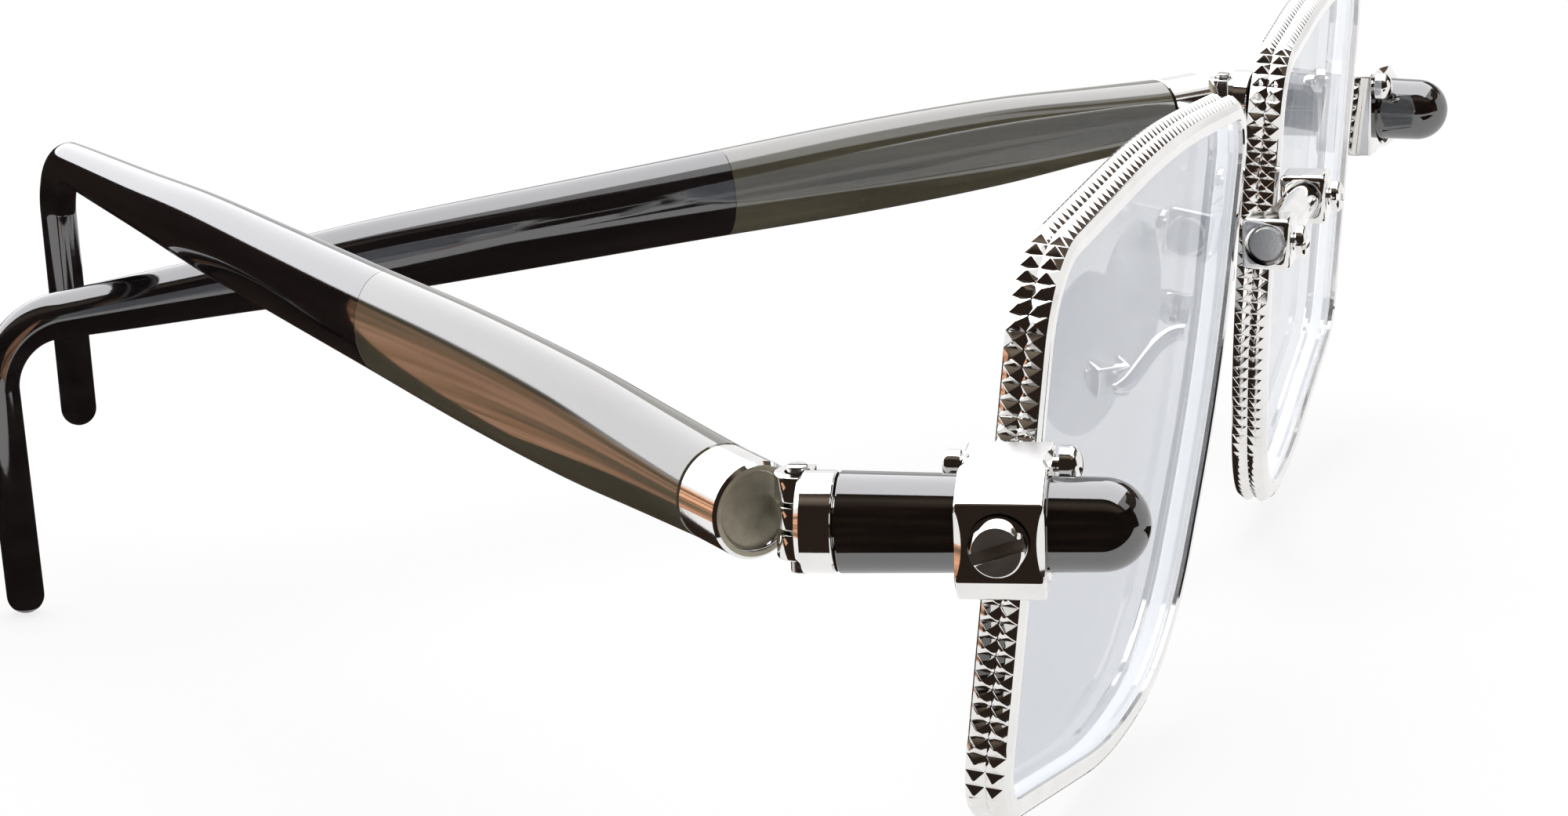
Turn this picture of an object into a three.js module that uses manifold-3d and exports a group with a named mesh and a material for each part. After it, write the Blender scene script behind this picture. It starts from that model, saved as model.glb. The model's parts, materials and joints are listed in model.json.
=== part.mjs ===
// Sunglasses with studded metal rims, corner blocks, black rods and hooked temples.
// Millimetres, +Z up, the front of the glasses faces -Y, and the wearer's right is at -X.
// Every side piece is drawn for the wearer's right and mirrored for the left.

import * as THREE from 'three';
import { mergeVertices } from 'three/addons/utils/BufferGeometryUtils.js';
import Module from 'manifold-3d';

const wasm = await Module();
wasm.setup();

// Overall layout
const bandSpan = 17.3;           // between the rims' nose sides at the bridge
const rodToe = 8;                // degrees, the rods' front ends lean towards each other
const seatGap = 0.3;             // between pieces that are soldered or screwed together
const runGap = 0.25;             // between hinge knuckles
const boreGap = 0.15;            // round a shank or wire in its hole
const cutPast = 1.0;             // how far a cutting tool reaches past what it cuts

// Eye shape: corners of the lens opening as shares of its half width and half height,
// with the corner radius as a share of the half height, x towards the nose
const eyeWide = 53.7;
const eyeHigh = 38.4;
const eyeCorners = [
  { across: -0.894, up: 0.906, round: 0.26 },
  { across: 0.149, up: 1.0, round: 7.8 },
  { across: 0.998, up: 0.917, round: 0.167 },
  { across: 0.92, up: -0.052, round: 2.083 },
  { across: 0.577, up: -0.938, round: 0.729 },
  { across: 0.0, up: -1.0, round: 2.604 },
  { across: -1.002, up: -0.724, round: 0.167 },
].map(({ across, up, round }) => ({
  x: across * eyeWide / 2,
  z: up * eyeHigh / 2,
  r: round * eyeHigh / 2,
}));
const eyeForward = 0.9;          // from the block's centre forwards to the rim's front plane
const eyeDrop = 4.9;             // from the rod axis down to the eye's centre
const eyeTilt = 5;               // degrees, the top of the rim leans forwards
const eyeWrap = 2.1;             // degrees, the outer end of the rim leans back

// Rim and lens
const lensThick = 1.4;
const lensPlay = 0.2;            // on each side of the lens in its groove
const lensEdge = 0.5;            // how far the lens reaches into the groove
const lensEdgeGap = 0.3;         // between the lens edge and the groove's bottom
const rimLip = 0.4;              // each lip beside the groove
const rimWall = 0.5;             // behind the groove's bottom
const studPitch = 1.0;
const studHeight = 0.45;
const studRows = 2;
const frontLip = 0.5;            // plain strip at the rim's front
const rearLip = 0.1;             // plain strip at the rim's rear

// Corner block
const blockOut = 4.2;            // from the rod axis to the outer face
const blockIn = 4.4;             // from the rod axis to the inner face
const blockClear = 0.59;         // between the inner face and the rim's studs
const blockHigh = 7.2;
const blockDeep = 5.0;
const blockBevel = 1.35;         // long bevels beside the outer face
const blockRound = 0.5;          // on the inner corners
const blockEdge = 0.35;          // small bevel on the front and rear edges

// Block screw
const screwHead = 3.45;
const screwHeadHigh = 1.2;
const screwShank = 1.6;
const slotWide = 0.55;
const slotDeep = 0.45;
const screwTurn = 80;            // degrees, the slot's angle from upright
const flatShape = { top: 0.78, shoulder: 0.1 };   // shares of a head: its flat top, its shoulder's drop
const domeShape = { top: 0.45, shoulder: 0.15 };
const headFlank = 0.45;          // share of a head's height above its straight side

// Lock screw, its nut and the rim's lug
const lockIn = 3.3;              // from the rod axis inwards
const lockUp = 2.5;              // from the rod axis up
const lockShank = 1.0;
const lockHead = 2.1;
const lockHeadHigh = 0.9;
const lockNut = 1.7;
const lockNutLong = 1.0;
const lockNutEdge = 0.2;         // bevel at the nut's rear end
const lugThick = 1.5;
const lugWall = 0.45;            // round the lock screw's hole

// Rod
const rodRear = 5.8;             // diameter at the rear end
const rodFront = 5.3;            // diameter where the bullet tip starts
const rodAhead = 8.15;           // from the block's centre to the tip
const rodBehind = 9.3;           // from the block's centre to the rear end
const spigotWide = 3.0;
const spigotLong = 3.0;

// Hinge
const pinBack = 11.9;            // from the block's centre to the hinge pin
const pinInset = 1.7;            // from the rod axis inwards to the hinge pin
const pinWide = 1.2;
const pinUp = 2.9;               // pin's upper end above the rod axis
const pinDown = 3.5;             // pin's lower end below the rod axis
const knuckleWide = 2.7;
const knuckleHigh = 5.0;         // the whole stack
const tongueHigh = 1.4;          // the middle knuckle
const webWide = 2.0;             // what joins a knuckle to its ferrule
const pinLean = 3;               // degrees, so that the right temple folds above the left one
const restFold = { right: 50, left: 54 };   // degrees from straight behind the rod

// Temple, measured along it from the hinge pin
const templeRise = 0.1;          // degrees above the rod when straight behind it
const ferruleWide = 5.8;
const ferruleStart = 2.2;
const ferruleEnd = 5.8;
const ferruleDish = 0.35;        // shallow recess in the ferrule's front face
const ferruleDishRim = 0.6;
const oliveEnd = 50.5;
const splitGap = 0.1;            // between the olive front and the black tip
const bendStart = 109;
const bendRadius = 5;
const hookDrop = 23.4;           // from the temple's axis to the hook's end
const hookWide = 2.9;
const coreWide = 1.4;
const coreEnd = 72;
const coreStart = 3.6;
const templeLong = 111.5;        // from the hinge pin to the last station of its shape
const templeHigh = 8.0;          // at its tallest
const templeShape = [            // shares of its length, of its height and of the ferrule's width
  { along: 0.114, tall: 0.825, broad: 0.966 },
  { along: 0.21, tall: 0.975, broad: 0.914 },
  { along: 0.333, tall: 1.0, broad: 0.879 },
  { along: 0.476, tall: 0.913, broad: 0.845 },
  { along: 0.6, tall: 0.85, broad: 0.793 },
  { along: 0.733, tall: 0.775, broad: 0.724 },
  { along: 0.838, tall: 0.625, broad: 0.655 },
  { along: 0.933, tall: 0.513, broad: 0.586 },
  { along: 1.0, tall: 0.425, broad: 0.534 },
];

// Bridge
const bridgeWide = 2.6;          // bar diameter
const bridgeUp = 3.8;            // above the rod axis
const clampShift = 0.65;         // from the rim's nose side towards the middle
const clampWide = 3.4;
const clampHigh = 3.6;
const clampDeep = 3.4;
const clampRound = 0.5;
const clampScrewHead = 2.3;
const clampScrewHeadHigh = 0.8;
const clampScrewShank = 1.0;

// Nose pads
const padHigh = 13;
const padWide = 7.2;
const padThick = 2.4;
const padOut = 1.85;             // pivot outwards from the rim's nose side at the bridge
const padBack = 6.6;             // behind the rods' block centres
const padDown = 5.5;             // below the rod axis
const padFace = 38;              // degrees, the pad's face turns from sideways to the rear
const padSlope = 12;             // degrees, the pads spread towards the bottom
const padLugWide = 1.2;
const padLugLong = 2.0;
const padLugWall = 0.5;          // round the pad screw's hole
const padBoxWide = 2.6;
const padBoxHigh = 2.4;
const padBoxDeep = 1.8;
const padBoxWall = 0.6;          // behind the pad's lug
const padScrewWide = 0.8;
const padScrewProud = 0.2;       // at each end
const armWide = 1.2;
const armStraight = 1.5;         // before the arm's bends
const armUp = 2.4;               // the arm's foot on the rim, above the pad's pivot

// Materials
const silver = { color: 0xc9c9c8, roughness: 0.16, metalness: 1 };
const steel = { color: 0xb9b9b8, roughness: 0.3, metalness: 1 };
const lacquer = { color: 0x0a0a0b, roughness: 0.08, metalness: 0 };
const olive = { color: 0x3f3b27, roughness: 0.1, metalness: 0 };
const black = { color: 0x0c0a0b, roughness: 0.1, metalness: 0 };
const tint = { color: 0xdfe3ea, roughness: 0.02, metalness: 0, transparent: true, opacity: 0.35 };
const clear = { color: 0xe9ecef, roughness: 0.25, metalness: 0 };

const rad = THREE.MathUtils.degToRad;

// Solids: joining and cutting

function solidOf(geometry) {
  const bare = geometry.clone();
  for (const name of Object.keys(bare.attributes)) {
    if (name !== 'position') bare.deleteAttribute(name);
  }
  const merged = mergeVertices(bare, 1e-5);
  return new wasm.Manifold(new wasm.Mesh({
    numProp: 3,
    vertProperties: new Float32Array(merged.attributes.position.array),
    triVerts: new Uint32Array(merged.index.array),
  }));
}

function geometryOf(solid) {
  const mesh = solid.getMesh();
  const geometry = new THREE.BufferGeometry();
  geometry.setAttribute('position', new THREE.BufferAttribute(new Float32Array(mesh.vertProperties), 3));
  geometry.setIndex(new THREE.BufferAttribute(new Uint32Array(mesh.triVerts), 1));
  geometry.computeVertexNormals();
  return geometry;
}

function cut(body, ...tools) {
  return geometryOf(tools.reduce((left, tool) => left.subtract(solidOf(tool)), solidOf(body)));
}

function join(body, ...others) {
  return geometryOf(others.reduce((sum, other) => sum.add(solidOf(other)), solidOf(body)));
}

// A geometry from rings of points that follow each other, closed into a loop or capped at both ends.
function skin(rings, loop = false) {
  const count = rings[0].length;
  const points = rings.flat();
  const faces = [];
  const last = loop ? rings.length : rings.length - 1;
  for (let k = 0; k < last; k += 1) {
    const a = k * count;
    const b = ((k + 1) % rings.length) * count;
    for (let i = 0; i < count; i += 1) {
      const j = (i + 1) % count;
      faces.push(a + i, a + j, b + j, a + i, b + j, b + i);
    }
  }
  if (!loop) {
    const ends = [[0, true], [(rings.length - 1) * count, false]];
    for (const [start, first] of ends) {
      const middle = new THREE.Vector3();
      for (let i = 0; i < count; i += 1) middle.addScaledVector(points[start + i], 1 / count);
      points.push(middle);
      for (let i = 0; i < count; i += 1) {
        const j = (i + 1) % count;
        if (first) faces.push(points.length - 1, start + j, start + i);
        else faces.push(points.length - 1, start + i, start + j);
      }
    }
  }
  return meshGeometry(points, faces);
}

// Indexed geometry whose faces point outwards, whichever way round they were listed.
function meshGeometry(points, faces) {
  let volume = 0;
  const cross = new THREE.Vector3();
  for (let k = 0; k < faces.length; k += 3) {
    cross.crossVectors(points[faces[k + 1]], points[faces[k + 2]]);
    volume += points[faces[k]].dot(cross);
  }
  const ordered = volume > 0 ? faces : faces.slice().reverse();
  const geometry = new THREE.BufferGeometry().setFromPoints(points);
  geometry.setIndex(ordered);
  geometry.computeVertexNormals();
  return geometry;
}

// Simple shapes

function rodAlongY(radius, from, to, sides = 16) {
  const geometry = new THREE.CylinderGeometry(radius, radius, to - from, sides);
  return geometry.translate(0, (from + to) / 2, 0);
}

function rodAlongZ(radius, from, to, sides = 16) {
  return rodAlongY(radius, from, to, sides).rotateX(Math.PI / 2);
}

function rodAlongX(radius, from, to, sides = 16) {
  return rodAlongY(radius, from, to, sides).rotateZ(-Math.PI / 2);
}

function boxBetween(x0, x1, y0, y1, z0, z1) {
  const geometry = new THREE.BoxGeometry(x1 - x0, y1 - y0, z1 - z0);
  return geometry.translate((x0 + x1) / 2, (y0 + y1) / 2, (z0 + z1) / 2);
}

// A lathe about the Y axis from points given as radius and y, both ends on the axis.
function turned(profile, sides = 16) {
  const points = profile.map(([radius, y]) => new THREE.Vector2(radius, y));
  return new THREE.LatheGeometry(points, sides);
}

// A slotted screw along +Y: the head's top at y = 0, the shank ends at y = headHigh + shankLong.
function slottedScrew(head, headHigh, shank, shankLong, shape) {
  const body = turned([
    [0, 0],
    [head / 2 * shape.top, 0],
    [head / 2 * (1 + shape.top) / 2, headHigh * shape.shoulder],
    [head / 2, headHigh * headFlank],
    [head / 2, headHigh],
    [shank / 2, headHigh],
    [shank / 2, headHigh + shankLong],
    [0, headHigh + shankLong],
  ]);
  const half = slotWide / 2;
  return cut(body, boxBetween(-half, half, -head, slotDeep, -head, head));
}

// Eye outline

// The corners moved outwards by a distance, with their radii grown to match.
function grownCorners(distance) {
  return eyeCorners.map((corner, i) => {
    const before = eyeCorners[(i + eyeCorners.length - 1) % eyeCorners.length];
    const after = eyeCorners[(i + 1) % eyeCorners.length];
    const n1 = new THREE.Vector2(-(corner.z - before.z), corner.x - before.x).normalize();
    const n2 = new THREE.Vector2(-(after.z - corner.z), after.x - corner.x).normalize();
    const scale = distance / (1 + n1.dot(n2));
    const shift = n1.add(n2).multiplyScalar(scale);
    return { x: corner.x + shift.x, z: corner.z + shift.y, r: corner.r + distance };
  });
}

// The outline as a shape with round corners.
function roundedShape(corners) {
  const shape = new THREE.Shape();
  corners.forEach((corner, i) => {
    const before = corners[(i + corners.length - 1) % corners.length];
    const after = corners[(i + 1) % corners.length];
    const back = new THREE.Vector2(before.x - corner.x, before.z - corner.z).normalize();
    const ahead = new THREE.Vector2(after.x - corner.x, after.z - corner.z).normalize();
    const half = Math.acos(THREE.MathUtils.clamp(back.dot(ahead), -1, 1)) / 2;
    const tangent = corner.r / Math.tan(half);
    const start = new THREE.Vector2(corner.x, corner.z).addScaledVector(back, tangent);
    const middle = back.clone().add(ahead).normalize().multiplyScalar(corner.r / Math.sin(half));
    const centre = new THREE.Vector2(corner.x, corner.z).add(middle);
    const end = new THREE.Vector2(corner.x, corner.z).addScaledVector(ahead, tangent);
    if (i === 0) shape.moveTo(start.x, start.y);
    else shape.lineTo(start.x, start.y);
    const a0 = Math.atan2(start.y - centre.y, start.x - centre.x);
    const a1 = Math.atan2(end.y - centre.y, end.x - centre.x);
    shape.absarc(centre.x, centre.y, corner.r, a0, a1, true);
  });
  shape.closePath();
  return shape;
}

const grooveBottom = lensEdge + lensEdgeGap;
const rimBase = grooveBottom + rimWall;
const rimDeep = lensThick + 2 * lensPlay + 2 * rimLip;
const baseCurve = roundedShape(grownCorners(rimBase));
const studCount = Math.round(baseCurve.getLength() / studPitch);

// Points round the eye with their outward normals, evenly spaced on the rim's base.
const roundEye = Array.from({ length: studCount }, (_, i) => {
  const point = baseCurve.getPointAt(i / studCount);
  const tangent = baseCurve.getTangentAt(i / studCount);
  return { point, normal: new THREE.Vector2(-tangent.y, tangent.x) };
});

function eyePoint(place, offset, y) {
  const reach = offset - rimBase;
  return new THREE.Vector3(
    place.point.x + place.normal.x * reach,
    y,
    place.point.y + place.normal.y * reach,
  );
}

// The rim: a grooved section swept round the eye, with pyramid studs on the outside.
function rimGeometry() {
  const studDeep = (rimDeep - frontLip - rearLip) / studRows;
  const rowEdges = Array.from({ length: studRows + 1 }, (_, k) => frontLip + k * studDeep);
  const section = [
    [0, rimLip], [0, 0], [rimBase, 0],
    ...rowEdges.map((y) => [rimBase, y]),
    [rimBase, rimDeep], [0, rimDeep], [0, rimDeep - rimLip],
    [grooveBottom, rimDeep - rimLip], [grooveBottom, rimLip],
  ];
  const firstStud = 3;
  const points = [];
  roundEye.forEach((place) => section.forEach(([offset, y]) => points.push(eyePoint(place, offset, y))));
  const faces = [];
  const count = section.length;
  for (let i = 0; i < studCount; i += 1) {
    const next = (i + 1) % studCount;
    for (let k = 0; k < count; k += 1) {
      const m = (k + 1) % count;
      const quad = [i * count + k, i * count + m, next * count + m, next * count + k];
      if (k >= firstStud && k < firstStud + studRows) {
        const apex = new THREE.Vector3();
        quad.forEach((id) => apex.addScaledVector(points[id], 1 / quad.length));
        const normal = roundEye[i].normal.clone().add(roundEye[next].normal).normalize();
        apex.x += normal.x * studHeight;
        apex.z += normal.y * studHeight;
        points.push(apex);
        quad.forEach((id, side) => faces.push(id, quad[(side + 1) % quad.length], points.length - 1));
      } else {
        faces.push(quad[0], quad[1], quad[2], quad[0], quad[2], quad[3]);
      }
    }
  }
  return meshGeometry(points, faces);
}

function lensGeometry() {
  const front = rimLip + lensPlay;
  const places = roundEye.filter((place, i) => i % 2 === 0);
  const rings = [front, front + lensThick].map((y) => places.map((place) => eyePoint(place, lensEdge, y)));
  return skin(rings);
}

// Where the eyes and the rods stand

// How far the lens opening reaches sideways at a height above the eye's centre, towards the nose or away.
function sideReach(height, towardsNose) {
  const reaches = eyeCorners.flatMap((corner, i) => {
    const after = eyeCorners[(i + 1) % eyeCorners.length];
    const share = (height - corner.z) / (after.z - corner.z);
    return share >= 0 && share <= 1 ? [THREE.MathUtils.lerp(corner.x, after.x, share)] : [];
  });
  return towardsNose ? Math.max(...reaches) : -Math.min(...reaches);
}

const eyeInset = sideReach(eyeDrop, false) + rimBase + studHeight + blockClear + blockIn;
const eyeAside = bandSpan / 2 + sideReach(bridgeUp + eyeDrop, true) + rimBase / 2;
const rodAside = eyeAside + eyeInset;

// Corner block and what it holds

function rodRadiusAt(y) {
  const share = (y + rodAhead) / (rodAhead + rodBehind);
  return THREE.MathUtils.lerp(rodFront, rodRear, share) / 2;
}

const rodBore = rodRadiusAt(blockDeep / 2) + boreGap;
const lockBore = lockShank / 2 + boreGap;
const lugHigh = lockShank + 2 * boreGap + 2 * lugWall;
const lugReach = lockBore + lugWall;

function blockGeometry() {
  const top = blockHigh / 2;
  const corners = [
    { x: -blockOut, z: top - blockBevel, r: blockRound },
    { x: -blockOut + blockBevel, z: top, r: blockRound },
    { x: blockIn, z: top, r: blockRound },
    { x: blockIn, z: -top, r: blockRound },
    { x: -blockOut + blockBevel, z: -top, r: blockRound },
    { x: -blockOut, z: -top + blockBevel, r: blockRound },
  ];
  const body = new THREE.ExtrudeGeometry(roundedShape(corners), {
    depth: blockDeep - 2 * blockEdge,
    bevelThickness: blockEdge,
    bevelSize: blockEdge,
    bevelOffset: -blockEdge,
    bevelSegments: 1,
    curveSegments: 2,
  });
  body.translate(0, 0, -blockDeep / 2 + blockEdge);
  body.rotateX(Math.PI / 2);
  const screwBore = rodAlongX(screwShank / 2 + boreGap, -blockOut - cutPast, 0, 16);
  const lockHole = rodAlongY(lockBore, -blockDeep, blockDeep, 16).translate(lockIn, 0, lockUp);
  const slotHalf = lugThick / 2 + boreGap;
  const lugSlot = boxBetween(
    lockIn - lugReach - boreGap, blockIn + cutPast, -slotHalf, slotHalf,
    lockUp - lugHigh / 2 - boreGap, blockHigh,
  );
  return cut(body, rodAlongY(rodBore, -blockDeep, blockDeep, 20), screwBore, lockHole, lugSlot);
}

function lugGeometry() {
  const body = boxBetween(
    lockIn - lugReach, blockIn, -lugThick / 2, lugThick / 2,
    lockUp - lugHigh / 2, lockUp + lugHigh / 2,
  );
  const hole = rodAlongY(lockBore, -lugThick, lugThick, 16).translate(lockIn, 0, lockUp);
  return cut(body, hole, rodAlongY(rodBore, -blockDeep, blockDeep, 20));
}

function blockScrewGeometry() {
  const reach = blockOut - rodRadiusAt(0);
  const screw = slottedScrew(screwHead, screwHeadHigh, screwShank, reach, flatShape);
  screw.rotateY(rad(screwTurn));
  screw.rotateZ(-Math.PI / 2);
  return screw.translate(-blockOut - seatGap - screwHeadHigh, 0, 0);
}

function lockScrewGeometry() {
  const shankLong = blockDeep + 2 * seatGap + lockNutLong;
  const screw = slottedScrew(lockHead, lockHeadHigh, lockShank, shankLong, domeShape);
  return screw.translate(lockIn, -blockDeep / 2 - seatGap - lockHeadHigh, lockUp);
}

function lockNutGeometry() {
  const inner = lockShank / 2 + boreGap;
  const outer = lockNut / 2;
  const start = blockDeep / 2 + seatGap;
  const nut = turned([
    [inner, start], [outer, start], [outer, start + lockNutLong - lockNutEdge],
    [outer - lockNutEdge / 2, start + lockNutLong], [inner, start + lockNutLong], [inner, start],
  ]);
  return nut.translate(lockIn, 0, lockUp);
}

function rodGeometry() {
  const profile = [[0, -rodAhead]];
  const tip = rodFront / 2;
  const steps = 5;
  for (let i = 1; i <= steps; i += 1) {
    const turn = (i / steps) * Math.PI / 2;
    profile.push([tip * Math.sin(turn), -rodAhead + tip * (1 - Math.cos(turn))]);
  }
  const socket = spigotWide / 2 + boreGap;
  profile.push([rodRear / 2, rodBehind], [socket, rodBehind]);
  profile.push([socket, rodBehind - spigotLong - seatGap], [0, rodBehind - spigotLong - seatGap]);
  return turned(profile, 20);
}

// Hinge

const lean = rad(-pinLean);

// Knuckles stand on the leaning pin: upright here, leaned, then set at the pin.
function atPin(geometry, mirror) {
  return geometry.rotateY(lean * mirror).translate(pinInset, pinBack, 0);
}

function rodFerruleGeometry(mirror) {
  const radius = rodRear / 2;
  const start = rodBehind + boreGap;
  const body = turned([
    [0, start - spigotLong], [spigotWide / 2, start - spigotLong], [spigotWide / 2, start],
    [radius, start], [radius, pinBack - seatGap], [0, pinBack - seatGap],
  ], 20);
  const inner = tongueHigh / 2 + runGap;
  const outer = knuckleHigh / 2;
  const ears = [[inner, outer], [-outer, -inner]].map(([low, high]) => {
    const round = rodAlongZ(knuckleWide / 2, low, high);
    const web = boxBetween(-webWide / 2, webWide / 2, -knuckleWide / 2, 0, low, high);
    return atPin(join(round, web), mirror);
  });
  const hole = atPin(rodAlongZ(pinWide / 2 + boreGap, -knuckleHigh, knuckleHigh, 16), mirror);
  const tongueRoom = atPin(rodAlongZ(knuckleWide / 2 + runGap, -inner, inner), mirror);
  return cut(join(body, ...ears), hole, tongueRoom);
}

function pinGeometry(mirror) {
  return atPin(rodAlongZ(pinWide / 2, -pinDown, pinUp, 16), mirror);
}

// Temple, in a frame whose origin is on the pin and whose +Y runs along the temple

const coreBore = coreWide / 2 + boreGap;

function templeFerruleGeometry() {
  const radius = ferruleWide / 2;
  const dish = radius - ferruleDishRim;
  const body = turned([
    [0, ferruleStart + ferruleDish], [dish, ferruleStart + ferruleDish], [dish, ferruleStart],
    [radius, ferruleStart], [radius, ferruleEnd], [coreBore, ferruleEnd],
    [coreBore, coreStart - boreGap], [0, coreStart - boreGap],
  ], 20).translate(-pinInset, 0, 0);
  const half = tongueHigh / 2;
  const round = rodAlongZ(knuckleWide / 2, -half, half);
  const web = boxBetween(-webWide / 2, webWide / 2, 0, ferruleStart + ferruleDish + boreGap, -half, half);
  const hole = rodAlongZ(pinWide / 2 + boreGap, -knuckleHigh, knuckleHigh, 16);
  return cut(join(body, round, web), hole);
}

const ferruleSize = new THREE.Vector2(ferruleEnd, ferruleWide / 2);
const highCurve = new THREE.SplineCurve([ferruleSize, ...templeShape.map(({ along, tall }) => (
  new THREE.Vector2(along * templeLong, tall * templeHigh / 2)
))]);
const wideCurve = new THREE.SplineCurve([ferruleSize, ...templeShape.map(({ along, broad }) => (
  new THREE.Vector2(along * templeLong, broad * ferruleWide / 2)
))]);

// A smooth value of a spline in its own x, found by halving.
function valueAt(curve, x) {
  let low = 0;
  let high = 1;
  for (let k = 0; k < 40; k += 1) {
    const middle = (low + high) / 2;
    if (curve.getPoint(middle).x < x) low = middle;
    else high = middle;
  }
  return curve.getPoint(low).y;
}

const ringSides = 16;

// An oval ring at a place on the temple's line, square to the direction given by a turn about X.
function ovalRing(y, z, turn, wide, high) {
  return Array.from({ length: ringSides }, (_, i) => {
    const angle = (i / ringSides) * 2 * Math.PI;
    const rise = Math.sin(angle) * high;
    return new THREE.Vector3(
      Math.cos(angle) * wide - pinInset,
      y - rise * Math.sin(turn),
      z + rise * Math.cos(turn),
    );
  });
}

function templeRing(y) {
  return ovalRing(y, 0, 0, valueAt(wideCurve, y), valueAt(highCurve, y));
}

function boreRing(y) {
  return ovalRing(y, 0, 0, coreBore, coreBore);
}

const ringStep = 6;

function ringPlaces(from, to) {
  const count = Math.max(2, Math.round((to - from) / ringStep));
  return Array.from({ length: count + 1 }, (_, i) => THREE.MathUtils.lerp(from, to, i / count));
}

function templeFrontGeometry() {
  const start = ferruleEnd + splitGap;
  const outer = ringPlaces(start, oliveEnd).map(templeRing);
  return skin([boreRing(start), ...outer, boreRing(oliveEnd)], true);
}

function templeTipGeometry() {
  const start = oliveEnd + splitGap;
  const rings = [boreRing(coreEnd + seatGap), boreRing(start)];
  ringPlaces(start, bendStart).forEach((y) => rings.push(templeRing(y)));
  const wideAtBend = valueAt(wideCurve, bendStart);
  const highAtBend = valueAt(highCurve, bendStart);
  const bendSteps = 6;
  const end = hookWide / 2;
  for (let k = 1; k <= bendSteps; k += 1) {
    const share = k / bendSteps;
    const turn = share * Math.PI / 2;
    rings.push(ovalRing(
      bendStart + bendRadius * Math.sin(turn), -bendRadius * (1 - Math.cos(turn)), -turn,
      THREE.MathUtils.lerp(wideAtBend, end, share), THREE.MathUtils.lerp(highAtBend, end, share),
    ));
  }
  const hookAt = bendStart + bendRadius;
  const down = -Math.PI / 2;
  const roundSteps = 3;
  for (let k = 0; k < roundSteps; k += 1) {
    const turn = (k / roundSteps) * Math.PI / 2;
    const size = end * Math.cos(turn);
    rings.push(ovalRing(hookAt, -hookDrop + end * (1 - Math.sin(turn)), down, size, size));
  }
  return skin(rings);
}

function templeCoreGeometry() {
  return rodAlongY(coreWide / 2, coreStart, coreEnd, 12).translate(-pinInset, 0, 0);
}

// Bridge and nose pads

const eyeCentre = new THREE.Vector3(-eyeAside, -eyeForward, -eyeDrop);
const eyeTurn = new THREE.Euler(rad(eyeTilt), 0, rad(-eyeWrap), 'ZYX');

// A point of the right eye in the frame of the whole glasses.
function fromEye(x, y, z) {
  return new THREE.Vector3(x, y, z).applyEuler(eyeTurn).add(eyeCentre);
}

// Where the rim's nose side stands at a height above the rod axis: middle of its band, at a depth.
function noseSide(height, y) {
  const local = height + eyeDrop;
  const inner = roundEye.filter((place) => place.point.x > 0);
  const nearest = inner.reduce((best, place) => (
    Math.abs(place.point.y - local) < Math.abs(best.point.y - local) ? place : best
  ));
  const point = eyePoint(nearest, rimBase / 2, y);
  return fromEye(point.x, point.y, point.z);
}

const clampInset = bandSpan / 2 - clampShift;
const clampFace = noseSide(bridgeUp, 0).y - seatGap - Math.tan(rad(eyeTilt)) * clampHigh / 2;
const bridgeY = clampFace - clampDeep / 2;

function bridgeBarGeometry() {
  const reach = clampInset + clampWide / 2 - seatGap;
  return rodAlongX(bridgeWide / 2, -reach, reach).translate(0, bridgeY, bridgeUp);
}

function clampGeometry() {
  const wide = clampWide / 2;
  const high = clampHigh / 2;
  const corners = [
    { x: -wide, z: high, r: clampRound },
    { x: wide, z: high, r: clampRound },
    { x: wide, z: -high, r: clampRound },
    { x: -wide, z: -high, r: clampRound },
  ];
  const body = new THREE.ExtrudeGeometry(roundedShape(corners), {
    depth: clampDeep, bevelEnabled: false, curveSegments: 3,
  });
  body.translate(0, 0, -clampDeep / 2);
  body.rotateX(Math.PI / 2);
  const bore = rodAlongX(bridgeWide / 2 + boreGap, -clampWide, clampWide);
  const hole = rodAlongY(clampScrewShank / 2 + boreGap, -clampDeep, 0, 12);
  return cut(body, bore, hole).translate(-clampInset, bridgeY, bridgeUp);
}

function clampScrewGeometry() {
  const reach = clampDeep / 2 - bridgeWide / 2;
  const screw = slottedScrew(clampScrewHead, clampScrewHeadHigh, clampScrewShank, reach, domeShape);
  const front = bridgeY - clampDeep / 2 - seatGap - clampScrewHeadHigh;
  return screw.rotateY(rad(screwTurn)).translate(-clampInset, front, bridgeUp);
}

// The pad's frame: its pivot at the origin, +X towards the nose, +Z up along the pad.
const padPivot = new THREE.Vector3(-bandSpan / 2 - padOut, padBack, -padDown);
const padTurn = new THREE.Euler(0, rad(-padSlope), rad(padFace), 'ZYX');
const padLugReach = padScrewWide / 2 + boreGap + padLugWall;

function padGeometry() {
  const pad = new THREE.SphereGeometry(0.5, 16, 10);
  pad.scale(padThick, padWide, padHigh);
  pad.translate(padLugLong + padThick / 2, 0, 0);
  const half = padLugWide / 2;
  const lug = boxBetween(-padLugReach, padLugLong + padThick / 2, -half, half, -padLugReach, padLugReach);
  const hole = rodAlongY(padScrewWide / 2 + boreGap, -padLugWide, padLugWide, 12);
  return cut(join(pad, lug), hole);
}

const padBoxBack = padLugReach + seatGap;

function padBoxGeometry() {
  const wide = padBoxWide / 2;
  const high = padBoxHigh / 2;
  const room = padLugWide / 2 + seatGap;
  const front = padBoxDeep - padBoxBack;
  const body = boxBetween(-padBoxBack - padBoxWall, front, -wide, wide, -high, high);
  const slot = boxBetween(-padBoxBack, padBoxDeep + cutPast, -room, room, -padBoxHigh, padBoxHigh);
  const hole = rodAlongY(padScrewWide / 2 + boreGap, -padBoxWide, padBoxWide, 12);
  return cut(body, slot, hole);
}

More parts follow.
